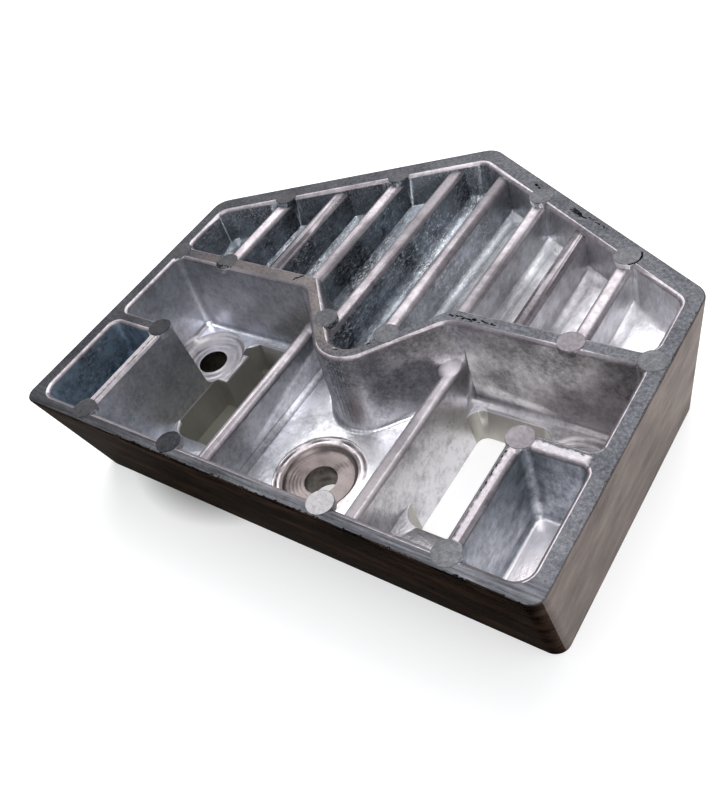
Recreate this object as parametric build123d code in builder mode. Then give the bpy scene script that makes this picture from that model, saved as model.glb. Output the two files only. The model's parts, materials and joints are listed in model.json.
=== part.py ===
from build123d import *
import os
from math import atan2, cos, degrees, radians, sin, tan

# A sacrificial anode: one aluminium casting, pointed at the back and open on its ribbed side.
# Sizes are in millimetres. The rim is on top. Positions along Y run from the front edge of
# the rim, depths run down from the rim, and the left half mirrors the right half.

# Outer block at the rim, and how far each outer wall stands in at its foot
width = 165.0
side_length = 96.0
back_rise = 46.5
height = 39.0
front_corner_radius = 4.0
back_corner_radius = 6.0
point_radius = 6.0
front_lean = 9.0
side_lean = 2.9
back_lean = 3.8

# Rim and inner walls, measured at the rim
side_wall = 5.0
front_wall = 4.0
back_wall = 6.4
side_cell_length = 23.5
cross_wall = 5.2
side_bay_length = 26.8
short_wall = 4.5
corner_pocket_width = 16.4
pocket_rib = 3.9
rim_bevel = 1.0

# U-shaped wall that bulges forward from the cross wall
mouth_half = 24.5
mouth_depth = 28.3
mouth_round = 7.0
nose_radius = 11.0
u_wall = 4.6

# Front bay, corner pockets and back cells, their corners rounded and their feet bevelled
bay_depth = 28.0
bay_draft = 2.5
corner_depth = 24.0
corner_draft = 3.5
corner_outer_radius = 4.5
cell_depth = 13.0
cell_draft = 5.0
inner_round = 2.4
foot_bevel = 1.4
cell_round = 3.4
cell_foot_bevel = 2.2

# Ribs between the nine cells at the back
rib_count = 8
rib_pitch = 16.75
rib = 4.4
rib_drop = 1.5
rib_round = 1.7
rib_foot_round = 3.0

# Two low ribs that join the front wall to the U-shaped wall
centre_rib_x = 25.2
centre_rib = 4.2
centre_rib_drop = 13.5
centre_rib_round = 1.8
centre_rib_foot_round = 2.0

# Through slots in the bay floor, each with a pad that stands out beside the bolt hole
slot_draft = 7.0
slot_front = 21.3
slot_back_gap = 4.3
slot_corner_radius = 6.0
slot_back_radius = 4.5
pad_reach = 4.7
pad_step = 3.3
pad_before_bolt = 7.3
pad_behind_bolt = 4.6

# Bolt holes, each in a dished seat, with a shallow ring round the middle one
bolt_hole_radius = 4.9
seat_radius = 9.7
seat_depth = 2.3
seat_slope = 45.0
centre_bolt_y = 25.4
centre_ring_radius = 14.0
centre_ring_depth = 0.5
side_bolt_inset = 13.2
side_bolt_gap = 15.1

# Round ejector pads, level with the rim
ejector_radius = 3.6
ejector_depth = 2.0
front_ejector_y = 4.3
short_wall_ejector_offset = 0.5
cross_wall_ejector_offset = 1.3
side_ejector_inset = 4.1
u_ejector_x = 10.3
u_ejector_behind_tip = 18.8
back_ejector_inset = 1.4

# How far a rib runs into the wall and the floor that carry it, and a cut past its far face
root = 1.5
past = 1.0

# Worked-out sizes
half_width = width / 2
back_slope = back_rise / half_width
back_angle = atan2(back_rise, half_width)
length = side_length + back_rise - point_radius * (1 / cos(back_angle) - 1)
inside_x = half_width - side_wall
cross_wall_back = side_length - side_cell_length
cross_wall_front = cross_wall_back - cross_wall
short_wall_back = cross_wall_front - side_bay_length
short_wall_front = short_wall_back - short_wall
corner_inner_x = inside_x - corner_pocket_width
pocket_rib_x = corner_inner_x - pocket_rib
side_bolt_x = inside_x - side_bolt_inset
side_bolt_y = cross_wall_front - side_bolt_gap
slot_back = cross_wall_front - slot_back_gap
pad_front = side_bolt_y - pad_before_bolt
pad_back = side_bolt_y + pad_behind_bolt
mouth_angle = atan2(mouth_half, mouth_depth)
nose_tip_y = cross_wall_front - mouth_depth
front_draft = degrees(atan2(front_lean, height))
side_draft = degrees(atan2(side_lean, height))
back_draft = degrees(atan2(back_lean, height))
bay_inset = bay_depth * tan(radians(bay_draft))
slot_outer = pocket_rib_x - bay_inset
centre_rib_rise = bay_depth - centre_rib_drop
slot_inner = centre_rib_x + centre_rib / 2 + centre_rib_rise * tan(radians(slot_draft))
seat_mouth_radius = seat_radius + seat_depth * tan(radians(seat_slope))
side_bolts = [(side_bolt_x, side_bolt_y), (-side_bolt_x, side_bolt_y)]
bolt_places = [(0, centre_bolt_y), *side_bolts]
rib_places = [(number - (rib_count - 1) / 2) * rib_pitch for number in range(rib_count)]


def level(depth):
    """Horizontal plane at a depth below the rim, its origin on the line of the front edge."""
    return Plane(origin=(0, -length / 2, height - depth))


def upright(x, y):
    """Upright plane that faces along +Y. Its second coordinate is the depth below the rim."""
    return Plane(origin=(x, y - length / 2, height), x_dir=(1, 0, 0), z_dir=(0, 1, 0))


def back_line(x, inset):
    """Where a line parallel to the back edge, moved in by inset, crosses the given x."""
    return side_length + back_rise - back_slope * abs(x) - inset / cos(back_angle)


def both_sides(right, on_axis=()):
    """Right-hand corners, then those on the axis, then the right-hand ones mirrored."""
    left = [(-x, y, radius) for x, y, radius in reversed(right)]
    return [*right, *on_axis, *left]


def sharp_outline(corners):
    """Face with straight sides between the corners, whose radii are left for later."""
    with BuildSketch(mode=Mode.PRIVATE) as shape:
        with BuildLine():
            Polyline([(x, y) for x, y, _ in corners], close=True)
        make_face()
    return shape.sketch


def outline(corners):
    """Face with straight sides and the given x, y and radius at each corner."""
    with BuildSketch(mode=Mode.PRIVATE) as shape:
        with BuildLine():
            FilletPolyline(
                [(x, y) for x, y, _ in corners],
                radius=[radius for _, _, radius in corners],
                close=True,
            )
        make_face()
    return shape.sketch


def uprights_with(part, corners, rounding):
    """Upright edges of a block that stand at the corners with the given radius."""
    uprights = part.edges().filter_by(Plane.XY, reverse=True)
    places = [(x, y - length / 2, height) for x, y, radius in corners if radius == rounding]
    return [uprights.sort_by_distance(place)[0] for place in places]


def recess(corners, depth, wall_draft, front_wall_draft):
    """Solid of a recess that narrows from the rim to its floor, with its upright edges rounded."""
    with BuildPart() as space:
        with BuildSketch(level(0)):
            add(sharp_outline(corners))
        extrude(amount=-depth)
        walls = space.faces().filter_by(Axis.Z, reverse=True).sort_by(Axis.Y)
        draft(walls[0], level(0), -front_wall_draft)
        walls = space.faces().filter_by(Axis.Z, reverse=True).sort_by(Axis.Y)
        draft(walls[1:], level(0), -wall_draft)
        for rounding in {radius for _, _, radius in corners if radius > 0}:
            fillet(uprights_with(space, corners, rounding), rounding)
    return space.part


def bay_corners(inset):
    """Corners of the front bay, wrapped round the corner pockets and the U-shaped wall."""
    back = cross_wall_front - inset
    tip = nose_tip_y - inset / sin(mouth_angle)
    right = [
        (pocket_rib_x - inset, front_wall + inset, 0),
        (pocket_rib_x - inset, short_wall_back + inset, 0),
        (inside_x - inset, short_wall_back + inset, inner_round),
        (inside_x - inset, back, inner_round),
        ((back - tip) * tan(mouth_angle), back, mouth_round),
    ]
    return both_sides(right, [(0, tip, nose_radius)])


def cell_corners(inset):
    """Corners of the back region, before its ribs divide it."""
    front = cross_wall_back + inset
    tip = nose_tip_y + (u_wall + inset) / sin(mouth_angle)
    side = inside_x - inset
    inset_back = back_wall + inset
    right = [
        ((front - tip) * tan(mouth_angle), front, 0),
        (side, front, cell_round),
        (side, back_line(side, inset_back), cell_round),
    ]
    ends = [(0, back_line(0, inset_back), cell_round)]
    return [*both_sides(right, ends), (0, tip, nose_radius - u_wall)]


def rib_section(half, drop, depth, drafts, feet, top_radius):
    """Section of a rib with a rounded top and drafted sides, on a strip sunk into the floor."""
    left, right = [half + (depth - drop) * tan(radians(draft)) for draft in drafts]
    left_end = -left - feet[0] - root
    right_end = right + feet[1] + root
    corners = [(left_end, depth + root, 0), (left_end, depth, 0), (-left, depth, feet[0])]
    corners += [(-half, drop, top_radius), (half, drop, top_radius)]
    corners += [(right, depth, feet[1]), (right_end, depth, 0), (right_end, depth + root, 0)]
    return outline(corners)


def bay_space(inset, depth):
    """The front bay from the rim down to a depth, or a smaller or larger one of the same form."""
    return recess(bay_corners(inset), depth, bay_draft, front_draft)


# Block with its walls leaning in to the foot
with BuildPart() as block:
    block_corners = both_sides(
        [(half_width, 0, front_corner_radius), (half_width, side_length, back_corner_radius)],
        [(0, side_length + back_rise, point_radius)],
    )
    with BuildSketch(level(0)):
        add(sharp_outline(block_corners))
    extrude(amount=-height)
    for facing, wall_draft in ((-1, front_draft), (0, side_draft), (1, back_draft)):
        walls = block.faces().filter_by(Axis.Z, reverse=True)
        leaning = walls.filter_by(lambda wall: round(wall.normal_at().Y) == facing)
        draft(leaning, level(0), -wall_draft)
    for rounding in {radius for _, _, radius in block_corners}:
        fillet(uprights_with(block, block_corners, rounding), rounding)

# Front bay. Its foot stays sharp along the corner pockets, where the slots begin
with BuildPart() as bay:
    add(bay_space(0, bay_depth))
    foot = bay.faces().sort_by(Axis.Z)[0].edges()
    slot_sides = foot.filter_by(Axis.Y).filter_by(lambda edge: abs(edge.center().X) < pocket_rib_x)
    chamfer([edge for edge in foot if edge not in slot_sides], foot_bevel)

# Corner pockets either side of the bay
with BuildPart() as corner_pockets:
    corner_pocket_corners = [
        (corner_inner_x, front_wall, inner_round),
        (inside_x, front_wall, corner_outer_radius),
        (inside_x, short_wall_front, inner_round),
        (corner_inner_x, short_wall_front, inner_round),
    ]
    add(recess(corner_pocket_corners, corner_depth, corner_draft, front_draft))
    chamfer(corner_pockets.faces().sort_by(Axis.Z)[0].edges(), foot_bevel)
    mirror(about=Plane.YZ)

# Back region as one recess
with BuildPart() as cells:
    add(recess(cell_corners(0), cell_depth, cell_draft, cell_draft))
    chamfer(cells.faces().sort_by(Axis.Z)[0].edges(), cell_foot_bevel)

# Eight ribs across the back region, cut to run a little way into the walls round it
with BuildPart() as cell_ribs:
    for x in rib_places:
        with BuildSketch(upright(x, nose_tip_y)):
            drafts = (cell_draft, cell_draft)
            feet = (rib_foot_round, rib_foot_round)
            add(rib_section(rib / 2, rib_drop, cell_depth, drafts, feet, rib_round))
        extrude(amount=length - nose_tip_y)
    reach = recess(cell_corners(-root), cell_depth + root, cell_draft, cell_draft)
    add(reach, mode=Mode.INTERSECT)

# The two low ribs in the bay. Their outer faces carry on down as the inner walls of the slots
with BuildPart() as centre_ribs:
    with BuildSketch(upright(centre_rib_x, 0)):
        drafts = (bay_draft, slot_draft)
        feet = (centre_rib_foot_round, 0)
        add(rib_section(centre_rib / 2, centre_rib_drop, bay_depth, drafts, feet, centre_rib_round))
    extrude(amount=cross_wall_back)
    add(bay_space(-root, bay_depth + root), mode=Mode.INTERSECT)
    mirror(about=Plane.YZ)

# Slots through the floor, between a low rib and a corner pocket
with BuildPart() as slots:
    with BuildSketch(level(bay_depth)):
        pad_x = slot_outer - pad_reach
        shoulder_x = pad_x + pad_step
        add(
            outline(
                [
                    (slot_inner, slot_front, slot_corner_radius),
                    (slot_outer, slot_front, slot_corner_radius),
                    (slot_outer, pad_front, 0),
                    (pad_x, pad_front, 0),
                    (pad_x, pad_back, 0),
                    (shoulder_x, pad_back, 0),
                    (shoulder_x, slot_back, slot_back_radius),
                    (slot_inner, slot_back, slot_back_radius),
                ]
            )
        )
    extrude(amount=bay_depth - height - past, taper=slot_draft)
    mirror(about=Plane.YZ)

# Dished seats round the bolt holes, kept inside the walls of the bay
with BuildPart() as seats:
    with BuildSketch(level(bay_depth)):
        with Locations(*bolt_places):
            Circle(seat_mouth_radius)
    extrude(amount=-seat_depth, taper=seat_slope)
    with BuildSketch(level(bay_depth)):
        with Locations(*side_bolts):
            Circle(seat_mouth_radius)
    extrude(amount=foot_bevel)
    with BuildSketch(level(bay_depth + centre_ring_depth)):
        with Locations((0, centre_bolt_y)):
            Circle(centre_ring_radius)
    extrude(amount=centre_ring_depth)
    add(bay_space(0, bay_depth + seat_depth), mode=Mode.INTERSECT)

# Round ejector pads, each a little wider than the wall it stands on
with BuildPart() as ejectors:
    with BuildSketch(level(0)):
        pocket_rib_middle = pocket_rib_x + pocket_rib / 2
        short_wall_middle = short_wall_front + short_wall / 2
        cross_wall_middle = cross_wall_front + cross_wall / 2
        bay_places = [
            (centre_rib_x, front_ejector_y),
            (pocket_rib_middle, front_ejector_y),
            (pocket_rib_middle + short_wall_ejector_offset, short_wall_middle),
            (pocket_rib_middle - cross_wall_ejector_offset, cross_wall_middle),
            (half_width - side_ejector_inset, cross_wall_middle),
        ]
        back_ribs = [rib_places[-1], rib_places[-3]]
        back_places = [(x, back_line(x, back_wall - back_ejector_inset)) for x in back_ribs]
        u_place = (u_ejector_x, nose_tip_y + u_ejector_behind_tip)
        with Locations(*bay_places, u_place, *back_places):
            Circle(ejector_radius)
    extrude(amount=-ejector_depth)
    mirror(about=Plane.YZ)
    add(block.part, mode=Mode.INTERSECT)

with BuildPart() as anode_casting:
    add(block.part)
    add(bay.part, mode=Mode.SUBTRACT)
    add(corner_pockets.part, mode=Mode.SUBTRACT)
    add(cells.part, mode=Mode.SUBTRACT)
    rim = anode_casting.faces().sort_by(Axis.Z)[-1]
    chamfer([edge for wire in rim.inner_wires() for edge in wire.edges()], rim_bevel)
    add(cell_ribs.part)
    add(centre_ribs.part)
    add(ejectors.part)
    add(slots.part, mode=Mode.SUBTRACT)
    add(seats.part, mode=Mode.SUBTRACT)
    with BuildSketch(level(bay_depth)):
        with Locations(*bolt_places):
            Circle(bolt_hole_radius)
    extrude(amount=bay_depth - height - past, mode=Mode.SUBTRACT)

anode_casting.part.label = "anode_casting"
os.makedirs("parts", exist_ok=True)
export_step(anode_casting.part, "parts/anode_casting.step")
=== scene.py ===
import json
import math
import random

import bpy
from mathutils import Matrix, Vector

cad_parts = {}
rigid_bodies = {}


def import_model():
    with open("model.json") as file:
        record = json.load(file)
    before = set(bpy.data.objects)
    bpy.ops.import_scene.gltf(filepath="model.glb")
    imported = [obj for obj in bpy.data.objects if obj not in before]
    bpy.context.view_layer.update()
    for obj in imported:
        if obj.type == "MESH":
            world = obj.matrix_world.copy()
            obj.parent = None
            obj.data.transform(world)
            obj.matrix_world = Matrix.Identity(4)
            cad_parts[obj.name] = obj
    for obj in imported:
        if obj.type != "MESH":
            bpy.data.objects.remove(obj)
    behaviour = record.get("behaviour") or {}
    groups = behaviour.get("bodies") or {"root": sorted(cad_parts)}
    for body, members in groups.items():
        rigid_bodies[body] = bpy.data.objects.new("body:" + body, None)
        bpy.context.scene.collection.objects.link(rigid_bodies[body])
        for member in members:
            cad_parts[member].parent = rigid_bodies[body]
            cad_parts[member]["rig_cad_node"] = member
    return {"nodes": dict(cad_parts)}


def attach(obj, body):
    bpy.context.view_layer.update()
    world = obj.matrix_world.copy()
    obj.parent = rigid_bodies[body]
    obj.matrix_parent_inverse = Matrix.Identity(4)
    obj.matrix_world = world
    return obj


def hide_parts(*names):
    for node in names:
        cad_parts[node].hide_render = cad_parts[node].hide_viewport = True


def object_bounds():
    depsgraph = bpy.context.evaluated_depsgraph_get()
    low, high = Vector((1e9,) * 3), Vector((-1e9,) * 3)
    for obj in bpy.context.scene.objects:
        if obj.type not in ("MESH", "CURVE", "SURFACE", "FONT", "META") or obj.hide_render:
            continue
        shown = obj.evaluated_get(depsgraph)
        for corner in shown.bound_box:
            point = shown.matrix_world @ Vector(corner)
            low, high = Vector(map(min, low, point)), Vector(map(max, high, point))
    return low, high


# A cast aluminium anode on a pale floor. Lengths are in metres, in the frame of the CAD model.
MM = 0.001
DRAW = random.Random(17)

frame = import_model()
cad_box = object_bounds()
bpy.ops.object.select_all(action="DESELECT")

# Outline of the casting, in millimetres like all sizes down to the materials
RIM = 39.0
HALF_WIDTH = 82.5
FRONT = cad_box[0].y / MM
SIDE_LENGTH = 96.0
BACK_RISE = 46.5
BACK_ANGLE = math.atan2(BACK_RISE, HALF_WIDTH)
FRONT_LEAN = 9.0
SIDE_LEAN = 2.9
BACK_LEAN = 3.8
OUTER_BAND = 2.6
EDGE_ROUND = 0.5

# Bay, corner pockets and the low ribs
BAY_FLOOR = 11.0
POCKET_FLOOR = 15.0
POCKET_SIDE = 60.5
POCKET_BACK = 36.5
SLOT_SIDE = 26.0
# Depth below the bay floor of the painted highlight line at the slots' upper edge
SLOT_HIGHLIGHT_DEPTH = 0.55
LOW_RIB = (20.9, 28.5)
LOW_RIB_TOP = (RIM - 15.4, RIM - 12.9)

# Cells at the back, and the U-shaped wall that runs through them
CELL_FLOOR = 26.0
CELLS_FRONT = 72.0
CELL_DRAFT = 5.0
BACK_WALL = 6.4
RIB = 4.4
RIB_COUNT = 8
RIB_PITCH = 16.75
RIB_TOP = RIM - 1.5
SOFT_BAND = 2.2
MOUTH_ANGLE = math.atan2(24.5, 28.3)
U_WALL = 4.6
U_TIP = 39.0 + U_WALL / math.sin(MOUTH_ANGLE)

# Bolt holes, and the radii of what lies round them
HOLES = [(0.0, 25.4), (64.3, 52.2)]
BORE_REACH = 5.0
SIDE_SEAT_REACH = 12.6
MIDDLE_SEAT_REACH = 12.5
RING_REACH = 14.2

# Ejector pads: x, distance behind the front edge, tone
PADS = [
    (25.2, 4.3, "pale"),
    (-25.2, 4.3, "dark"),
    (59.15, 4.3, "grey"),
    (-59.15, 4.3, "grey"),
    (59.65, 38.25, "pink"),
    (-59.65, 38.25, "dark"),
    (57.85, 69.9, "pink"),
    (-57.85, 69.9, "grey"),
    (78.4, 69.9, "grey"),
    (-78.4, 69.9, "grey"),
    (10.3, 57.8, "grey"),
    (-10.3, 57.8, "grey"),
    (58.625, 103.79, "grey"),
    (-58.625, 103.79, "grey"),
    (25.125, 122.67, "grey"),
    (-25.125, 122.67, "grey"),
]
PAD_RADIUS = 3.45
PAD_DEPTH = 1.0
PAD_PROUD = {"pale": 0.12, "pink": 0.12, "dark": 0.12, "grey": 0.06}

# Flared ends of the low ribs at the U-shaped wall: centre and half sizes
FLARES = [((24.4, 63.2, 25.0), (3.2, 4.2, 1.0)), ((-24.7, 64.2, 25.0), (2.6, 2.8, 0.8))]

# Strips of the rim's top with a look of their own: limits to the side or behind the front edge
FRONT_STRIP = (-2.0, 6.2)
CROSS_WALL = (48.0, 74.0)
CROSS_WALL_SIDE = (-70.0, 4.0)
POCKET_RIB = (7.5, 35.6)
RIB_CREST = (58.6, 62.5)
RIB_EDGE = (56.8, 58.0)
SHORT_WALL = (35.0, 38.7)
SHORT_WALL_SIDE = (62.5, 76.5)


def at(x, y, z=RIM):
    """Place on the casting from x, the distance behind the front edge and the height, in mm."""
    return Vector((x, y + FRONT, z)) * MM


def in_mm(point):
    """The x, the distance behind the front edge and the height of a point, in mm."""
    return point.x / MM, point.y / MM - FRONT, point.z / MM


# Materials: the nodes that they are made of


def node_group(name, inputs, outputs):
    """Empty shader node group with the given sockets, and its input and output nodes."""
    group = bpy.data.node_groups.new(name, "ShaderNodeTree")
    for label, kind, value in inputs:
        socket = group.interface.new_socket(label, in_out="INPUT", socket_type=kind)
        if value is not None:
            socket.default_value = value
    for label, kind in outputs:
        group.interface.new_socket(label, in_out="OUTPUT", socket_type=kind)
    return group, group.nodes.new("NodeGroupInput"), group.nodes.new("NodeGroupOutput")


def feed(tree, socket, value):
    """Links an output to an input socket, or sets a plain value on it."""
    if isinstance(value, bpy.types.NodeSocket):
        tree.links.new(value, socket)
    else:
        socket.default_value = value


def ramp(tree, factor, stops):
    """Colour ramp from (position, grey or colour) stops."""
    node = tree.nodes.new("ShaderNodeValToRGB")
    tree.links.new(factor, node.inputs[0])
    elements = node.color_ramp.elements
    while len(elements) < len(stops):
        elements.new(0.5)
    for element, (position, value) in zip(elements, stops):
        element.position = position
        element.color = (value, value, value, 1) if isinstance(value, (int, float)) else (*value, 1)
    return node.outputs[0]


def math_node(tree, operation, *values, clamp=False):
    """Result of a math node."""
    node = tree.nodes.new("ShaderNodeMath")
    node.operation = operation
    node.use_clamp = clamp
    for socket, value in zip(node.inputs, values):
        feed(tree, socket, value)
    return node.outputs[0]


def noise_at(tree, vector, scale, detail=3.0, roughness=0.55):
    """Grey noise of a scale given in cells for each metre."""
    node = tree.nodes.new("ShaderNodeTexNoise")
    for label, value in (("Vector", vector), ("Scale", scale), ("Detail", detail), ("Roughness", roughness)):
        feed(tree, node.inputs[label], value)
    return node.outputs[0]


def streaks_at(tree, vector, scale, detail=4.0, roughness=0.7):
    """Grey noise stretched by three scales, each in cells for each metre."""
    node = tree.nodes.new("ShaderNodeMapping")
    tree.links.new(vector, node.inputs["Vector"])
    node.inputs["Scale"].default_value = scale
    return noise_at(tree, node.outputs[0], 1.0, detail, roughness)


def mix_colour(tree, factor, first, second, blend="MIX"):
    """Result of a colour mix node. A plain colour is a tuple of three numbers."""
    node = tree.nodes.new("ShaderNodeMix")
    node.data_type = "RGBA"
    node.blend_type = blend
    feed(tree, node.inputs[0], factor)
    for socket, value in ((node.inputs[6], first), (node.inputs[7], second)):
        feed(tree, socket, (*value, 1) if isinstance(value, tuple) else value)
    return node.outputs[2]


def parts_of(tree, place):
    """The three coordinates as separate numbers."""
    node = tree.nodes.new("ShaderNodeSeparateXYZ")
    tree.links.new(place, node.inputs[0])
    return node.outputs


def distance_from(tree, vector, centre):
    """Distance of the coordinates from a fixed place."""
    node = tree.nodes.new("ShaderNodeVectorMath")
    node.operation = "DISTANCE"
    tree.links.new(vector, node.inputs[0])
    node.inputs[1].default_value = centre
    return node.outputs["Value"]


def band(tree, value, low, high, soft):
    """Mask of the places where a value lies between two limits."""
    above = math_node(tree, "MULTIPLY_ADD", value, 1 / soft, 0.5 - low / soft, clamp=True)
    below = math_node(tree, "MULTIPLY_ADD", value, -1 / soft, 0.5 + high / soft, clamp=True)
    return math_node(tree, "MULTIPLY", above, below)


def side_band(tree, across, limits, soft):
    """Mask of the places between two distances from the middle, in mm."""
    low, high = limits
    return band(tree, across, low * MM, high * MM, soft * MM)


def depth_band(tree, along, limits, soft):
    """Mask of the places between two distances behind the front edge, in mm."""
    low, high = limits
    return band(tree, along, at(0, low).y, at(0, high).y, soft * MM)


def make_cast_skin():
    """Grain of cast metal: a height for the bump, and masks of bright specks and of stains."""
    group, given, made = node_group(
        "cast_skin",
        [("Vector", "NodeSocketVector", None)],
        [("Height", "NodeSocketFloat"), ("Specks", "NodeSocketFloat"), ("Stain", "NodeSocketFloat")],
    )
    vector = given.outputs["Vector"]
    fine = noise_at(group, vector, 1100.0, 3.0, 0.6)
    flow = noise_at(group, vector, 220.0, 2.0, 0.5)
    group.links.new(math_node(group, "MULTIPLY_ADD", flow, 0.8, fine), made.inputs["Height"])
    specks = noise_at(group, vector, 1300.0, 2.0, 0.7)
    group.links.new(ramp(group, specks, [(0.56, 0.0), (0.66, 1.0)]), made.inputs["Specks"])
    clouds = noise_at(group, vector, 34.0, 2.0, 0.5)
    blots = noise_at(group, vector, 130.0, 7.0, 0.7)
    stain = math_node(group, "MULTIPLY", math_node(group, "MULTIPLY_ADD", clouds, 0.9, blots), 0.53)
    group.links.new(ramp(group, stain, [(0.38, 0.0), (0.63, 1.0)]), made.inputs["Stain"])
    return group


# Slope and start of the painted change from shade on the left side to light on the right
WIDE_CHANGE = (9.0, 0.45)
STEEP_CHANGE = (22.0, 0.10)


def make_painted_side_light():
    """How far a place lies towards the right of the casting, from 0 to 1: painted shade on the left, painted
    light on the right.
    """
    slope, start = WIDE_CHANGE
    group, given, made = node_group(
        "painted_side_light",
        [
            ("Vector", "NodeSocketVector", None),
            ("Slope", "NodeSocketFloat", slope),
            ("Start", "NodeSocketFloat", start),
        ],
        [("Right", "NodeSocketFloat")],
    )
    across = parts_of(group, given.outputs["Vector"])[0]
    wanted = (across, given.outputs["Slope"], given.outputs["Start"])
    right = math_node(group, "MULTIPLY_ADD", *wanted, clamp=True)
    group.links.new(right, made.inputs["Right"])
    return group


CAST_SKIN = make_cast_skin()
# Painted shade on the left and painted light on the right, shared by the metals
PAINTED_SIDE_LIGHT = make_painted_side_light()


def start_material(name):
    """Material with its shader, the object's coordinates and the cast skin in it."""
    material = bpy.data.materials.new(name)
    material.use_nodes = True
    tree = material.node_tree
    shader = tree.nodes["Principled BSDF"]
    shader.inputs["Metallic"].default_value = 1.0
    place = tree.nodes.new("ShaderNodeTexCoord").outputs["Object"]
    skin = tree.nodes.new("ShaderNodeGroup")
    skin.node_tree = CAST_SKIN
    tree.links.new(place, skin.inputs["Vector"])
    return material, tree, shader, place, skin


def painted_light_share(tree, place, change=WIDE_CHANGE):
    """Node of the painted side light, shade on the left and light on the right, fed with the object's
    coordinates.
    """
    node = tree.nodes.new("ShaderNodeGroup")
    node.node_tree = PAINTED_SIDE_LIGHT
    tree.links.new(place, node.inputs["Vector"])
    node.inputs["Slope"].default_value, node.inputs["Start"].default_value = change
    return node.outputs[0]


def bump(tree, shader, height, distance):
    """Feeds a height to the shader's normal through a bump node."""
    node = tree.nodes.new("ShaderNodeBump")
    node.inputs["Distance"].default_value = distance
    tree.links.new(height, node.inputs["Height"])
    tree.links.new(node.outputs[0], shader.inputs["Normal"])


# Materials: metals of the casting. Tones run from dark to pale, and grain is the depth of the bump.


def make_turned_metal(name, hole, spacing, tones, depth, grain, rough):
    """Metal with broken rings round a bolt hole and round its mirror image."""
    material, tree, shader, place, skin = start_material(name)
    across, along, _ = parts_of(tree, place)
    flat = tree.nodes.new("ShaderNodeCombineXYZ")
    tree.links.new(math_node(tree, "ABSOLUTE", across), flat.inputs[0])
    tree.links.new(along, flat.inputs[1])
    radius = distance_from(tree, flat.outputs[0], at(*hole, 0))
    turns = math_node(tree, "MULTIPLY", radius, math.tau / (spacing * MM))
    breaks = ramp(tree, noise_at(tree, place, 150.0, 2.0), [(0.42, 0.0), (0.6, 1.0)])
    rings = math_node(tree, "MULTIPLY", math_node(tree, "SINE", turns), breaks)
    tone = math_node(tree, "MULTIPLY_ADD", rings, depth, skin.outputs["Stain"], clamp=True)
    feed(tree, shader.inputs["Base Color"], mix_colour(tree, tone, *tones))
    shader.inputs["Roughness"].default_value = rough
    bump(tree, shader, math_node(tree, "MULTIPLY_ADD", skin.outputs["Height"], 0.6, rings), grain * MM)
    return material


def wall_stain(tree, place, skin, streaks, painted_foot_highlight, belt):
    """Mask of the pale places of a wall: streaked, with a painted highlight towards its foot where it
    reflects the floor, and darker in a belt.
    """
    middle, belt_limits, belt_soft = 25.0, (21.5, 27.5), 10.0
    height = parts_of(tree, place)[2]
    stain = math_node(tree, "MULTIPLY_ADD", streaks_at(tree, place, streaks), 1.5, -0.75)
    # Painted highlight: paler towards the foot, where the wall reflects the bright floor
    if painted_foot_highlight:
        raised = math_node(tree, "ADD", stain, painted_foot_highlight * middle * MM)
        stain = math_node(tree, "MULTIPLY_ADD", height, -painted_foot_highlight, raised)
    if belt:
        level = side_band(tree, height, belt_limits, belt_soft)
        stain = math_node(tree, "MULTIPLY_ADD", level, -belt, stain)
    return math_node(tree, "ADD", skin.outputs["Stain"], stain, clamp=True)


def wall_flecks(tree, place, streaks, share, specks, fade):
    """Mask of bright flecks in clusters, fading towards the right."""
    spots = streaks_at(tree, place, tuple(2.4 * scale for scale in streaks), 5.0, 0.85)
    clusters = ramp(tree, noise_at(tree, place, 55.0, 2.0), [(0.38, 0.25), (0.62, 1.0)])
    strength = math_node(tree, "MULTIPLY", math_node(tree, "MULTIPLY_ADD", share, -fade, specks), clusters)
    return math_node(tree, "MULTIPLY", ramp(tree, spots, [(0.51, 0.0), (0.66, 1.0)]), strength)


def make_wall_metal(
    name, left, right, specks, rough, grain,
    streaks=(400.0, 400.0, 400.0), fade=0.0, painted_foot_highlight=0.0, belt=0.0, change=WIDE_CHANGE, floor=None,
):
    """Cast metal whose tones change from painted shade on the left side to painted light on the right, and up
    the walls.

    A floor is the height up to which the right-hand side is painted paler, a painted highlight on the floor,
    and its tone there.
    """
    material, tree, shader, place, skin = start_material(name)
    # Painted shade on the left and painted light on the right
    share = painted_light_share(tree, place, change)
    stain = wall_stain(tree, place, skin, streaks, painted_foot_highlight, belt)
    dark = mix_colour(tree, share, left[0], right[0])
    pale = mix_colour(tree, share, left[1], right[1])
    flecks = wall_flecks(tree, place, streaks, share, specks, fade)
    colour = mix_colour(tree, flecks, mix_colour(tree, stain, dark, pale), (0.92, 0.92, 0.95))
    # Painted highlight on the floor of the right-hand side, where it reflects the light
    if floor:
        top, tone = floor
        dimmer_floor_highlight = tuple(0.8 * part for part in tone)
        level = side_band(tree, parts_of(tree, place)[2], (0.0, top), 0.8)
        low = math_node(tree, "MULTIPLY", level, share)
        colour = mix_colour(tree, low, colour, mix_colour(tree, stain, dimmer_floor_highlight, tone))
    feed(tree, shader.inputs["Base Color"], colour)
    feed(tree, shader.inputs["Roughness"], ramp(tree, stain, [(0.0, rough[0]), (1.0, rough[1])]))
    bump(tree, shader, skin.outputs["Height"], grain * MM)
    return material


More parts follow.
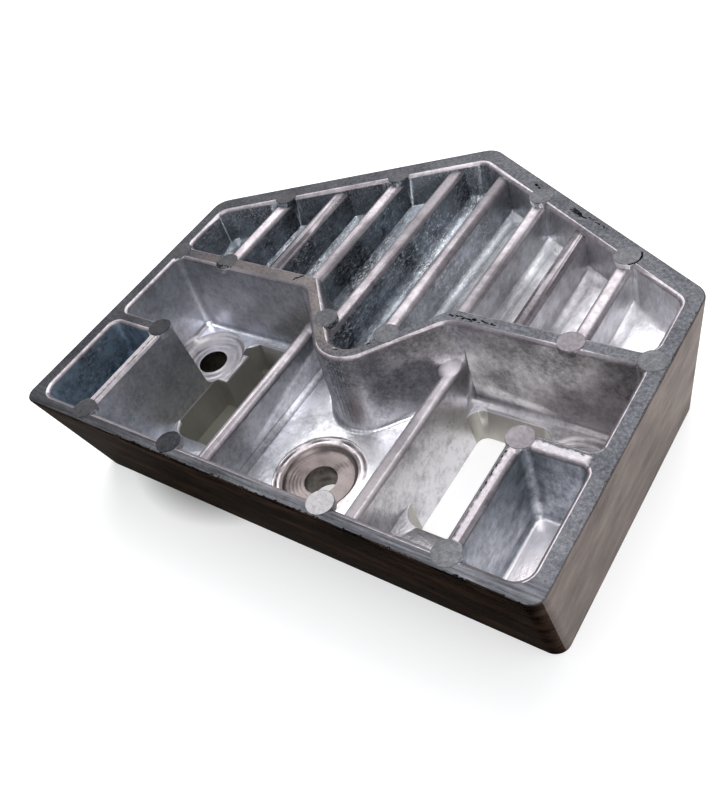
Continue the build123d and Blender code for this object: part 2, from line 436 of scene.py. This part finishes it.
def make_slot_metal():
    """Dull metal inside the slots, with a painted highlight line along their upper edge."""
    material, tree, shader, place, skin = start_material("slot_metal")
    streaks = streaks_at(tree, place, (160.0, 160.0, 90.0), 4.0, 0.6)
    lines = ramp(tree, streaks, [(0.3, 0.0), (0.75, 1.0)])
    inner = mix_colour(tree, lines, (0.41, 0.395, 0.365), (0.53, 0.505, 0.47))
    # Painted highlight along the slots' rounded upper edge
    painted_lip_highlight = side_band(tree, parts_of(tree, place)[2], (BAY_FLOOR - SLOT_HIGHLIGHT_DEPTH, RIM), 0.3)
    feed(tree, shader.inputs["Base Color"], mix_colour(tree, painted_lip_highlight, inner, (0.86, 0.83, 0.86)))
    shader.inputs["Roughness"].default_value = 0.5
    bump(tree, shader, skin.outputs["Height"], 0.08 * MM)
    return material


def matt(shader, rough, edge=(0.7, 0.7, 0.7)):
    """Makes a metal matt, with a weak reflection at grazing angles."""
    shader.inputs["Roughness"].default_value = rough
    shader.inputs["Specular Tint"].default_value = (*edge, 1)


def make_pad_metal(name, tones, rough=0.5, left=1.0):
    """Scuffed matt grey of an ejector pad, with painted shade on the left by a factor."""
    material, tree, shader, place, skin = start_material(name)
    stain = math_node(tree, "MULTIPLY_ADD", noise_at(tree, place, 900.0, 5.0, 0.75), 1.8, -0.85)
    stain = math_node(tree, "MULTIPLY_ADD", skin.outputs["Stain"], 0.4, stain, clamp=True)
    # Painted shade on the left
    shade = math_node(tree, "MULTIPLY_ADD", painted_light_share(tree, place), 1.0 - left, left)
    colour = mix_colour(tree, stain, *tones)
    feed(tree, shader.inputs["Base Color"], mix_colour(tree, 1.0, colour, shade, "MULTIPLY"))
    matt(shader, rough)
    bump(tree, shader, skin.outputs["Height"], 0.12 * MM)
    return material


def rim_grey(tree, place, stain):
    """Grey of the rim's top, with painted shade on the left, and warmer on the cross wall."""
    x, y, _ = parts_of(tree, place)
    cross = math_node(
        tree, "MULTIPLY", depth_band(tree, y, CROSS_WALL, 6.0), side_band(tree, x, CROSS_WALL_SIDE, 10.0)
    )
    dark = mix_colour(tree, cross, (0.06, 0.062, 0.071), (0.115, 0.10, 0.10))
    pale = mix_colour(tree, cross, (0.25, 0.25, 0.272), (0.37, 0.335, 0.335))
    # Painted shade on the left
    shade = math_node(tree, "MULTIPLY_ADD", painted_light_share(tree, place), 0.45, 0.55)
    return mix_colour(tree, 1.0, mix_colour(tree, stain, dark, pale), shade, "MULTIPLY")


def worn_strips(tree, place, stain, colour):
    """The colour, with the worn crests of the pocket ribs and the short wall, and a black edge."""
    x, y, _ = parts_of(tree, place)
    ragged = math_node(tree, "MULTIPLY_ADD", noise_at(tree, place, 700.0, 3.0, 0.7), 2.2 * MM, -1.1 * MM)
    off = math_node(tree, "ADD", math_node(tree, "ABSOLUTE", x), ragged)
    along_rib = depth_band(tree, y, POCKET_RIB, 1.0)
    crest = math_node(tree, "MULTIPLY", along_rib, side_band(tree, off, RIB_CREST, 0.6))
    worn = mix_colour(tree, stain, (0.34, 0.31, 0.33), (0.60, 0.55, 0.58))
    colour = mix_colour(tree, crest, colour, worn)
    along_wall = side_band(tree, x, SHORT_WALL_SIDE, 1.0)
    wall = depth_band(tree, math_node(tree, "ADD", y, ragged), SHORT_WALL, 0.5)
    worn = mix_colour(tree, stain, (0.34, 0.32, 0.34), (0.66, 0.62, 0.65))
    colour = mix_colour(tree, math_node(tree, "MULTIPLY", along_wall, wall), colour, worn)
    edge = math_node(tree, "MULTIPLY", along_rib, side_band(tree, off, RIB_EDGE, 0.6))
    edge = math_node(tree, "MULTIPLY", edge, side_band(tree, x, (0.0, 100.0), 1.0))
    return mix_colour(tree, edge, colour, (0.03, 0.028, 0.03))


def make_rim_metal():
    """Scuffed metal of the rim's top: fine grain, scratches along the front, worn and dark strips."""
    material, tree, shader, place, skin = start_material("rim_metal")
    grain = noise_at(tree, place, 1000.0, 6.0, 0.8)
    scratches = streaks_at(tree, place, (60.0, 1500.0, 60.0))
    in_front = depth_band(tree, parts_of(tree, place)[1], FRONT_STRIP, 1.0)
    stain = math_node(tree, "MULTIPLY_ADD", mix_colour(tree, in_front, grain, scratches), 2.2, -1.0)
    stain = math_node(tree, "MULTIPLY_ADD", skin.outputs["Stain"], 0.35, stain, clamp=True)
    colour = worn_strips(tree, place, stain, rim_grey(tree, place, stain))
    feed(tree, shader.inputs["Base Color"], colour)
    matt(shader, 0.5)
    bump(tree, shader, skin.outputs["Height"], 0.14 * MM)
    return material


def make_outer_metal(name, edge, rough):
    """Tarnished, streaked metal of the outer walls, with painted shade that makes the front nearly black
    where it reflects a dark floor, and brown-grey round the corners and beyond.
    """
    material, tree, shader, place, skin = start_material(name)
    _, y, z = parts_of(tree, place)
    behind = math_node(tree, "ADD", y, -(FRONT + FRONT_LEAN) * MM)
    inward = math_node(tree, "MULTIPLY_ADD", z, FRONT_LEAN / RIM, behind)
    share = math_node(tree, "MULTIPLY", inward, 230.0, clamp=True)
    front_lines = streaks_at(tree, place, (45.0, 70.0, 260.0), 5.0, 0.65)
    front_lines = ramp(tree, front_lines, [(0.45, 0.0), (0.70, 1.0)])
    side_lines = streaks_at(tree, place, (60.0, 60.0, 160.0), 5.0, 0.65)
    side_lines = ramp(tree, side_lines, [(0.35, 0.0), (0.68, 1.0)])
    # Painted shade: the front wall nearly black, with tarnish streaks
    front = mix_colour(tree, front_lines, (0.001, 0.001, 0.001), (0.105, 0.068, 0.047))
    side = mix_colour(tree, side_lines, (0.100, 0.080, 0.073), (0.225, 0.188, 0.174))
    feed(tree, shader.inputs["Base Color"], mix_colour(tree, share, front, side))
    matt(shader, rough, edge)
    bump(tree, shader, skin.outputs["Height"], 0.10 * MM)
    return material


def make_pit_metal():
    """Black oxide in the pits and nicks."""
    material, tree, shader, _, skin = start_material("pit_metal")
    colour = mix_colour(tree, skin.outputs["Specks"], (0.012, 0.01, 0.012), (0.06, 0.055, 0.06))
    feed(tree, shader.inputs["Base Color"], colour)
    shader.inputs["Roughness"].default_value = 0.6
    return material


# Dark tones of the bolt holes' bores: painted shade in the deep holes
BORE_SHADE_TONES = ((0.06, 0.05, 0.045), (0.22, 0.20, 0.18))

FINISHES = {
    "bay": make_wall_metal(
        "bay_metal",
        left=((0.34, 0.355, 0.385), (0.78, 0.79, 0.84)),
        right=((0.20, 0.19, 0.197), (0.66, 0.63, 0.65)),
        specks=0.3, rough=(0.44, 0.32), grain=0.09, streaks=(600.0, 600.0, 600.0), painted_foot_highlight=14.0,
    ),
    "u_wall": make_wall_metal(
        "u_wall_metal",
        left=((0.24, 0.245, 0.26), (0.78, 0.78, 0.81)),
        right=((0.24, 0.242, 0.255), (0.82, 0.81, 0.84)),
        specks=0.4, rough=(0.40, 0.28), grain=0.09, streaks=(800.0, 800.0, 800.0), painted_foot_highlight=24.0, belt=0.4,
    ),
    "slot": make_slot_metal(),
    "seat": make_turned_metal(
        "seat_metal", HOLES[1], spacing=2.3, tones=((0.26, 0.245, 0.255), (0.62, 0.59, 0.61)),
        depth=0.4, grain=0.06, rough=0.46,
    ),
    "middle_seat": make_turned_metal(
        "middle_seat_metal", HOLES[0], spacing=1.1, tones=((0.09, 0.075, 0.073), (0.24, 0.205, 0.20)),
        depth=0.14, grain=0.04, rough=0.38,
    ),
    "ring": make_turned_metal(
        "ring_metal", HOLES[0], spacing=1.7, tones=((0.14, 0.125, 0.13), (0.78, 0.72, 0.74)),
        depth=0.6, grain=0.10, rough=0.38,
    ),
    "cell": make_wall_metal(
        "cell_metal",
        left=((0.045, 0.052, 0.064), (0.34, 0.375, 0.42)),
        right=((0.46, 0.45, 0.47), (0.84, 0.83, 0.86)),
        specks=1.3, rough=(0.50, 0.40), grain=0.11, streaks=(1100.0, 260.0, 500.0), fade=1.0,
        change=STEEP_CHANGE,
    ),
    "pocket": make_wall_metal(
        "pocket_metal",
        left=((0.15, 0.19, 0.24), (0.74, 0.84, 0.92)),
        right=((0.25, 0.275, 0.31), (0.82, 0.85, 0.88)),
        specks=0.9, rough=(0.42, 0.30), grain=0.10, streaks=(700.0, 240.0, 400.0), fade=0.7,
        # Painted highlight on the floors of the right-hand pockets
        floor=(POCKET_FLOOR + 0.5, (0.98, 0.91, 0.94)),
    ),
    "rib": make_wall_metal(
        "rib_metal",
        left=((0.25, 0.225, 0.24), (0.50, 0.46, 0.49)),
        right=((0.29, 0.26, 0.28), (0.56, 0.515, 0.545)),
        specks=0.3, rough=(0.50, 0.44), grain=0.10,
    ),
    "low_rib": make_wall_metal(
        "low_rib_metal",
        left=((0.30, 0.27, 0.29), (0.54, 0.49, 0.52)),
        right=((0.46, 0.42, 0.45), (0.80, 0.75, 0.78)),
        specks=0.3, rough=(0.52, 0.46), grain=0.10,
    ),
    "rim": make_rim_metal(),
    # Front outer wall: tarnish with painted shade
    "front": make_outer_metal("front_tarnish_and_shade_metal", edge=(0.2, 0.165, 0.14), rough=0.42),
    "side": make_outer_metal("side_metal", edge=(0.78, 0.75, 0.73), rough=0.45),
    "bore": make_wall_metal(
        "bore_shade_metal", left=BORE_SHADE_TONES, right=BORE_SHADE_TONES, specks=0.1, rough=(0.4, 0.32), grain=0.08
    ),
    "pit": make_pit_metal(),
    "grey": make_pad_metal("pad_grey", ((0.10, 0.10, 0.107), (0.24, 0.24, 0.255)), left=0.5),
    "dark": make_pad_metal("pad_dark", ((0.02, 0.02, 0.025), (0.07, 0.07, 0.075)), rough=0.4),
    "pink": make_pad_metal("pad_pink", ((0.15, 0.137, 0.148), (0.30, 0.27, 0.29))),
    "pale": make_pad_metal("pad_pale", ((0.30, 0.29, 0.30), (0.48, 0.465, 0.48))),
}

# Marks on the casting

MARKS = []
MARK_REACH = 1.08
EDGE_LEVEL = RIM - 0.1


def mark(x, y, z, along, across, deep, turn=0.0, finish="pit"):
    """Notes a pit or chip by its centre and half sizes in mm, its turn and its finish."""
    MARKS.append((at(x, y, z), Vector((along, across, deep)) * MM, turn, finish))


def mark_line(start, end, spacing, size, stray, z=RIM, finish="pit"):
    """Pits strung along a line, each a little off it."""
    first, last = Vector(start), Vector(end)
    count = max(2, round((last - first).length / spacing))
    heading = math.atan2(last.y - first.y, last.x - first.x)
    for step in range(count):
        spot = first.lerp(last, (step + DRAW.uniform(0.2, 0.8)) / count)
        along, across = size * DRAW.uniform(0.7, 2.0), size * DRAW.uniform(0.4, 0.9)
        right, back = (DRAW.uniform(-stray, stray) for _ in range(2))
        turn = heading + DRAW.uniform(-0.6, 0.6)
        mark(spot.x + right, spot.y + back, z, along, across, across * 0.9, turn, finish)


def note_marks():
    """The chips, pits and nicks that the photo shows, by their places on the casting."""
    # Pits on the right pocket's rib, on the cross wall and on the left limb of the U-shaped wall
    mark_line((58.0, 19.5), (58.3, 33.5), 0.9, 0.30, 0.25)
    mark_line((23.0, 69.4), (37.5, 69.5), 0.7, 0.42, 0.45)
    mark_line((-59.5, 67.9), (-49.5, 67.9), 0.7, 0.30, 0.2)
    mark_line((-29.8, 69.0), (-28.0, 71.2), 0.5, 0.45, 0.25)
    mark_line((-20.5, 60.5), (-13.5, 51.5), 1.0, 0.26, 0.4)
    mark_line((-61.8, 70.0), (-61.9, 73.5), 0.8, 0.22, 0.1)
    # Single nicks on the U-shaped wall and on the back edge
    mark(0.0, 48.2, RIM, 0.6, 0.35, 0.3, 0.3)
    mark(7.5, 53.0, RIM, 0.7, 0.45, 0.4, 0.9)
    mark(21.4, 127.2, RIM, 0.9, 0.45, 0.4, -0.5)
    mark(22.8, 126.1, RIM, 0.6, 0.4, 0.4, -0.3)
    # Black dross on the right back edge
    mark_line((36.6, 118.8), (41.2, 116.4), 0.4, 0.62, 0.55)
    mark_line((42.0, 116.6), (50.0, 112.4), 1.1, 0.35, 0.4)
    # Gap round the right side of the pad on the same edge
    pad_x, pad_y, reach = 58.6, 103.8, 3.75
    for turn in range(-60, 31, 10):
        angle = math.radians(turn)
        spot_x, spot_y = pad_x + reach * math.cos(angle), pad_y + reach * math.sin(angle)
        mark(spot_x, spot_y, RIM, 0.5, DRAW.uniform(0.2, 0.35), 0.3, angle + math.pi / 2)
    # Chipped outer edges, in front and on the right
    mark_line((-44.0, 0.15), (54.0, 0.15), 1.2, 0.45, 0.35, EDGE_LEVEL, "front")
    mark_line((60.0, 0.1), (79.0, 0.1), 2.0, 0.4, 0.3, EDGE_LEVEL, "front")
    mark_line((82.2, 30.0), (82.2, 92.0), 3.0, 0.35, 0.25, EDGE_LEVEL, "side")


# Where a place of the casting lies


def outer_gaps(x, y, depth=0.0):
    """Distances from the front, side and back outer walls, in mm, at a depth below the rim."""
    front = y - depth * FRONT_LEAN / RIM
    side = HALF_WIDTH - abs(x) - depth * SIDE_LEAN / RIM
    back = (SIDE_LENGTH + BACK_RISE - y - abs(x) * math.tan(BACK_ANGLE)) * math.cos(BACK_ANGLE)
    return front, side, back - depth * BACK_LEAN / RIM


def outer_gap(point):
    """Distance of a point from the nearest outer wall at the rim, in mm."""
    x, y, _ = in_mm(point)
    return min(outer_gaps(x, y))


def in_front_of_u(x, y):
    """Whether a place lies at the bay's side of the U-shaped wall."""
    reach, near, far = 34, 36, 69.5
    return abs(x) < reach and near < y < far and y > 33 + 0.9 * abs(x)


def behind_u(x, y):
    """Whether a place lies behind the middle line of the U-shaped wall."""
    reach, near, tip = 22, 42, 41.5
    return abs(x) < reach and y > near and y - tip > abs(x) / math.tan(MOUTH_ANGLE)


def outer_facing(point, normal):
    """Which outer wall a face belongs to, or none."""
    x, y, z = in_mm(point)
    front, side, back = outer_gaps(x, y, RIM - z)
    if min(front, side, back) > OUTER_BAND:
        return None
    if front < min(side, back) + 2.0 and normal.y < -0.25:
        return "front"
    outward = Vector((math.copysign(1, x), 0, 0))
    if back < side:
        outward = Vector((math.copysign(math.sin(BACK_ANGLE), x), math.cos(BACK_ANGLE), 0))
    if normal.dot(outward) > 0.3 or (front < OUTER_BAND and normal.y < -0.3):
        return "side"
    return None


def mark_at(point):
    """Finish of the pit or chip that a point lies in, if any."""
    for centre, half, turn, finish in MARKS:
        offset = Matrix.Rotation(-turn, 3, "Z") @ (point - centre)
        if Vector((offset.x / half.x, offset.y / half.y, offset.z / half.z)).length < MARK_REACH:
            return finish
    return None


def top_finish(x, y):
    """Finish of the rim's top: the tone of the ejector pad that lies there, or the rim's."""
    for pad_x, pad_y, tone in PADS:
        if math.hypot(x - pad_x, y - pad_y) < PAD_RADIUS + 0.02:
            return tone
    return "rim"


def bolt_finish(x, y, z, normal):
    """Finish of a face in a bolt hole or in what lies round it, if it is one."""
    for hole_x, hole_y in HOLES:
        gap = math.hypot(abs(x) - hole_x, y - hole_y)
        if z < BAY_FLOOR - 2.2 and gap < BORE_REACH and abs(normal.z) < 0.5:
            return "bore"
        if hole_x and z < BAY_FLOOR + 1.5 and gap < SIDE_SEAT_REACH:
            return "seat"
        if z < BAY_FLOOR - 0.55 and gap < MIDDLE_SEAT_REACH and normal.z > 0.5:
            return "middle_seat"
        if z < BAY_FLOOR - 0.05 and gap < RING_REACH and normal.z > 0.5:
            return "ring"
    return None


def is_crest(y, z, normal):
    """Whether a face is a bevel of the rim's inner edges or the rounded top of a rib."""
    bevel = normal.z > 0.25 and z > RIM - 1.15 and abs(z - RIB_TOP) > 0.01
    return bevel or (RIM - 3.4 < z < RIB_TOP + 0.1 and y > 40 and normal.z > 0.2)


def finish_of(point, normal):
    """Finish of a face from its place and the way it faces."""
    x, y, z = in_mm(point)
    marked = mark_at(point) if z > RIM - 1.6 else None
    if marked:
        return marked
    if z > RIM - 0.05:
        return top_finish(x, y)
    outside = outer_facing(point, normal)
    if outside:
        return outside
    if z < 0.1:
        return "side"
    if is_crest(y, z, normal):
        return "rib"
    bolt = bolt_finish(x, y, z, normal)
    if bolt:
        return bolt
    if z < BAY_FLOOR - 0.05 and abs(normal.z) < 0.6 and SLOT_SIDE < abs(x) < POCKET_SIDE:
        return "slot"
    if LOW_RIB[0] < abs(x) < LOW_RIB[1] and LOW_RIB_TOP[0] < z < LOW_RIB_TOP[1] and normal.z > 0.3:
        return "low_rib"
    if abs(x) > POCKET_SIDE and y < POCKET_BACK:
        return "pocket"
    if z > CELL_FLOOR - 0.2 and (y > CELLS_FRONT or behind_u(x, y)):
        return "cell"
    return "u_wall" if z > BAY_FLOOR + 0.5 and in_front_of_u(x, y) and normal.z < 0.9 else "bay"


def on_outer_edge(first, second):
    """Whether an edge is part of the rim's outer edge."""
    return all(abs(point.z - RIM * MM) < 1e-5 and outer_gap(point) < OUTER_BAND for point in (first, second))


def in_cells(point):
    """Whether a point lies among the nine cells at the back."""
    x, y, z = in_mm(point)
    return CELL_FLOOR - 0.5 < z < RIM + 0.2 and (y > CELLS_FRONT or behind_u(x, y)) and outer_gap(point) > 4


def is_upright(face):
    """Whether a face stands upright, give or take its draft."""
    return abs(face.normal.z) < 0.3


def is_rib_side(face):
    """Whether a face is the side of a rib between two cells."""
    return abs(face.normal.x) > 0.9 and is_upright(face) and in_cells(face.center)


def is_cell_wall(face):
    """Whether a face is a wall that the ribs between the cells run into."""
    return abs(face.normal.x) < 0.85 and is_upright(face) and in_cells(face.center)


# Work on the mesh


def alone(piece):
    """Makes one object the only one selected."""
    bpy.ops.object.select_all(action="DESELECT")
    bpy.context.view_layer.objects.active = piece
    piece.select_set(True)


def joined(pieces, name):
    """Several objects as one, its sizes applied."""
    bpy.ops.object.select_all(action="DESELECT")
    for piece in pieces:
        piece.select_set(True)
    bpy.context.view_layer.objects.active = pieces[0]
    bpy.ops.object.join()
    bpy.ops.object.transform_apply(location=True, rotation=True, scale=True)
    pieces[0].name = name
    return pieces[0]


def combine(piece, other, operation):
    """Applies a boolean with another object and removes that object."""
    step = piece.modifiers.new(operation.lower(), "BOOLEAN")
    step.operation = operation
    step.solver = "EXACT"
    step.use_self = True
    step.object = other
    alone(piece)
    bpy.ops.object.modifier_apply(modifier=step.name)
    bpy.data.objects.remove(other)


def clear_selection(kind):
    """Sets what edit mode selects, with nothing selected, and goes back to object mode."""
    bpy.ops.object.mode_set(mode="EDIT")
    bpy.ops.mesh.select_mode(type=kind)
    bpy.ops.mesh.select_all(action="DESELECT")
    bpy.ops.object.mode_set(mode="OBJECT")


def make_pads():
    """Faces of the ejector pads, that stand a little proud of the rim."""
    made = []
    for x, y, tone in PADS:
        place = at(x, y, RIM + PAD_PROUD[tone] - PAD_DEPTH / 2)
        bpy.ops.mesh.primitive_cylinder_add(
            vertices=40, radius=PAD_RADIUS * MM, depth=PAD_DEPTH * MM, location=place
        )
        made.append(bpy.context.object)
    return joined(made, "pads")


def make_lump(place, half, turn=0.0, subdivisions=2):
    """Rounded lump with the given centre, half sizes and turn."""
    bpy.ops.mesh.primitive_ico_sphere_add(
        subdivisions=subdivisions, radius=1.0, location=place, rotation=(0, 0, turn), scale=half
    )
    return bpy.context.object


def make_flares():
    """Lumps that widen the low ribs where they run into the U-shaped wall."""
    made = [make_lump(at(*centre), Vector(half) * MM, subdivisions=4) for centre, half in FLARES]
    return joined(made, "flares")


def make_marks():
    """Lumps that cut the pits and chips."""
    return joined([make_lump(centre, half, turn) for centre, half, turn, _ in MARKS], "marks")


def cut_faces(piece, wanted, point, normal):
    """Draws a line where a plane crosses the faces that pass the test."""
    for face in piece.data.polygons:
        face.select = wanted(face)
    bpy.ops.object.mode_set(mode="EDIT")
    bpy.ops.mesh.bisect(plane_co=point, plane_no=normal)
    bpy.ops.object.mode_set(mode="OBJECT")


def add_support_lines(piece):
    """Lines beside the upright corners of the cells, so that only a narrow band there shades softly."""
    clear_selection("FACE")
    lean = math.tan(math.radians(CELL_DRAFT))
    for number in range(RIB_COUNT):
        for side in (-1, 1):
            x = (number - (RIB_COUNT - 1) / 2) * RIB_PITCH + side * (RIB / 2 + SOFT_BAND)
            cut_faces(piece, is_cell_wall, at(x, 0, RIB_TOP), Vector((side, 0, lean)).normalized())
    slant, run = math.sin(BACK_ANGLE), math.cos(BACK_ANGLE)
    cut_faces(piece, is_rib_side, at(0, CELLS_FRONT + 0.5 + SOFT_BAND), Vector((0, 1, lean)).normalized())
    apex = SIDE_LENGTH + BACK_RISE - (BACK_WALL + SOFT_BAND) / run
    tip = U_TIP + SOFT_BAND / math.sin(MOUTH_ANGLE)
    for side in (-1, 1):
        cut_faces(piece, is_rib_side, at(0, apex), Vector((side * slant, run, -lean)).normalized())
        out = Vector((-side * math.cos(MOUTH_ANGLE), math.sin(MOUTH_ANGLE), lean)).normalized()
        cut_faces(piece, is_rib_side, at(0, tip), out)


def refine_curves(piece):
    """Splits the facets of the curved inner walls and rounds them, so that they shade evenly."""
    tallest, shortest, longest = 8 * MM, 0.3 * MM, 2.6 * MM
    clear_selection("EDGE")
    vertices = piece.data.vertices
    beside = {}
    for face in piece.data.polygons:
        heights = [vertices[index].co.z for index in face.vertices]
        tall = is_upright(face) and max(heights) - min(heights) > tallest
        for key in face.edge_keys:
            beside.setdefault(key, []).append((abs(face.normal.z) < 0.85, tall))
    for edge in piece.data.edges:
        first, second = (vertices[index].co for index in edge.vertices)
        across = second - first
        sides = beside[edge.key]
        level = abs(across.z) < 0.03 * MM and shortest < across.length < longest
        curved = all(leaning for leaning, _ in sides) and any(tall for _, tall in sides)
        edge.select = level and curved and outer_gap(first) > 4
    bpy.ops.object.mode_set(mode="EDIT")
    bpy.ops.mesh.subdivide(number_cuts=4, smoothness=1.0)
    bpy.ops.object.mode_set(mode="OBJECT")


def soften_cell_corners(mesh):
    """Lets the shading run smoothly round the upright corners of the cells."""
    sides, walls = {}, {}
    for face in mesh.polygons:
        kept = sides if is_rib_side(face) else walls if is_cell_wall(face) else None
        if kept is not None:
            for key in face.edge_keys:
                kept[key] = face
    for edge in mesh.edges:
        side, wall = sides.get(edge.key), walls.get(edge.key)
        if side and wall and (wall.center - side.center).dot(side.normal) > 0:
            edge.use_edge_sharp = False


def part_finishes(mesh, first, second):
    """Keeps the shading apart along the edges where two finishes meet."""
    beside = {}
    for face in mesh.polygons:
        for key in face.edge_keys:
            beside.setdefault(key, set()).add(face.material_index)
    for edge in mesh.edges:
        if beside[edge.key] == {first, second}:
            edge.use_edge_sharp = True


def round_outer_edge(piece):
    """Rounds the rim's outer edge."""
    clear_selection("EDGE")
    vertices = piece.data.vertices
    for edge in piece.data.edges:
        edge.select = on_outer_edge(*(vertices[index].co for index in edge.vertices))
    bpy.ops.object.mode_set(mode="EDIT")
    bpy.ops.mesh.bevel(offset=EDGE_ROUND * MM, segments=3)
    bpy.ops.object.mode_set(mode="OBJECT")


def give_finishes(piece):
    """Gives each face the material of its region, and shades the faces softly within the regions."""
    piece.data.materials.clear()
    slots = {name: number for number, name in enumerate(FINISHES)}
    for material in FINISHES.values():
        piece.data.materials.append(material)
    for face in piece.data.polygons:
        face.material_index = slots[finish_of(face.center, face.normal)]
    alone(piece)
    bpy.ops.object.shade_smooth_by_angle(angle=math.radians(50))
    soften_cell_corners(piece.data)
    part_finishes(piece.data, slots["low_rib"], slots["u_wall"])
    keep = piece.modifiers.new("even_shading", "WEIGHTED_NORMAL")
    keep.keep_sharp = True
    bpy.ops.object.modifier_apply(modifier=keep.name)


def make_casting():
    """The casting's own mesh with a softened outer edge, its pads and marks, and a finish for each region."""
    piece = frame["nodes"]["anode_casting"].copy()
    piece.data = piece.data.copy()
    piece.name = "casting"
    piece.parent = None
    bpy.context.scene.collection.objects.link(piece)
    alone(piece)
    bpy.ops.object.mode_set(mode="EDIT")
    bpy.ops.mesh.select_all(action="SELECT")
    bpy.ops.mesh.remove_doubles(threshold=1e-6)
    bpy.ops.mesh.dissolve_limited(angle_limit=math.radians(0.2))
    bpy.ops.object.mode_set(mode="OBJECT")
    round_outer_edge(piece)
    add_support_lines(piece)
    combine(piece, make_pads(), "UNION")
    combine(piece, make_flares(), "UNION")
    note_marks()
    combine(piece, make_marks(), "DIFFERENCE")
    refine_curves(piece)
    give_finishes(piece)
    # The copy stands for the CAD node and isn't one itself
    piece["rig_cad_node"] = ""
    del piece["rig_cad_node"]
    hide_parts("anode_casting")
    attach(piece, "root")


# Floor, light and camera

FLOOR_SIZE = 6.0
FLOOR_TONE = (0.8, 0.8, 0.8)
# Tone and centre of a painted shadow on the floor under the left slot
PAINTED_SHADOW_TONE = (0.135, 0.135, 0.112)
PAINTED_SHADOW_CENTRE = (-42, 42)

# Camera of the photograph: place, axes of the picture, lens in mm and shift of the picture
CAMERA_PLACE = (0.137026, -0.14343, 0.199643)
CAMERA_RIGHT = Vector((0.80385, 0.53427, -0.26157))
CAMERA_DOWN = Vector((0.24799, -0.70064, -0.66904))
CAMERA_FORWARD = Vector((-0.54071, 0.47292, -0.69570))
SENSOR = 36.0
LENS = 40.626
SHIFT = (0.01867, -0.0117)


def make_floor():
    """Pale floor with a painted shadow under the left slot, where the casting shades it."""
    bpy.ops.object.select_all(action="DESELECT")
    bpy.ops.mesh.primitive_plane_add(size=FLOOR_SIZE, location=(0, 0, 0))
    floor = bpy.context.object
    floor.name = "floor"
    material = bpy.data.materials.new("pale_floor")
    material.use_nodes = True
    tree = material.node_tree
    shader = tree.nodes["Principled BSDF"]
    shader.inputs["Roughness"].default_value = 0.9
    shader.inputs["Emission Color"].default_value = (1, 1, 1, 1)
    place = tree.nodes.new("ShaderNodeTexCoord").outputs["Object"]
    away = distance_from(tree, place, at(*PAINTED_SHADOW_CENTRE, 0))
    # Painted shadow: dark under the left slot, with the glow left out there
    unshadowed = ramp(tree, math_node(tree, "MULTIPLY", away, 10.0), [(0.28, 0.0), (0.42, 1.0)])
    feed(tree, shader.inputs["Base Color"], mix_colour(tree, unshadowed, PAINTED_SHADOW_TONE, FLOOR_TONE))
    feed(tree, shader.inputs["Emission Strength"], math_node(tree, "MULTIPLY", unshadowed, 0.4))
    floor.data.materials.append(material)


def add_light(name, azimuth, height, distance, size, power):
    """Square soft light that faces the casting from an azimuth and a height in degrees."""
    light = bpy.data.lights.new(name, "AREA")
    light.size = size
    light.energy = power
    lamp = bpy.data.objects.new(name, light)
    bpy.context.scene.collection.objects.link(lamp)
    turn, rise = math.radians(azimuth), math.radians(height)
    towards = Vector((math.cos(turn) * math.cos(rise), math.sin(turn) * math.cos(rise), math.sin(rise)))
    lamp.location = towards * distance
    lamp.rotation_mode = "QUATERNION"
    lamp.rotation_quaternion = (-towards).to_track_quat("-Z", "Y")


def make_world():
    """Even pale surroundings."""
    world = bpy.data.worlds.new("surroundings")
    bpy.context.scene.world = world
    world.use_nodes = True
    background = world.node_tree.nodes["Background"]
    background.inputs["Color"].default_value = (0.95, 0.97, 1.0, 1)
    background.inputs["Strength"].default_value = 0.5
    bpy.context.scene.view_settings.view_transform = "Standard"


def make_camera():
    """Camera at the photograph's angle and distance."""
    data = bpy.data.cameras.new("camera")
    data.sensor_width = SENSOR
    data.lens = LENS
    data.shift_x, data.shift_y = SHIFT
    data.clip_start = 0.01
    camera = bpy.data.objects.new("camera", data)
    bpy.context.scene.collection.objects.link(camera)
    turn = Matrix((CAMERA_RIGHT, -CAMERA_DOWN, -CAMERA_FORWARD)).transposed().to_4x4()
    camera.matrix_world = Matrix.Translation(CAMERA_PLACE) @ turn
    bpy.context.scene.camera = camera


make_casting()
make_floor()
make_world()
add_light("key", azimuth=122, height=52, distance=0.9, size=0.95, power=7.5)
add_light("fill", azimuth=-36, height=58, distance=0.9, size=0.5, power=3)
make_camera()
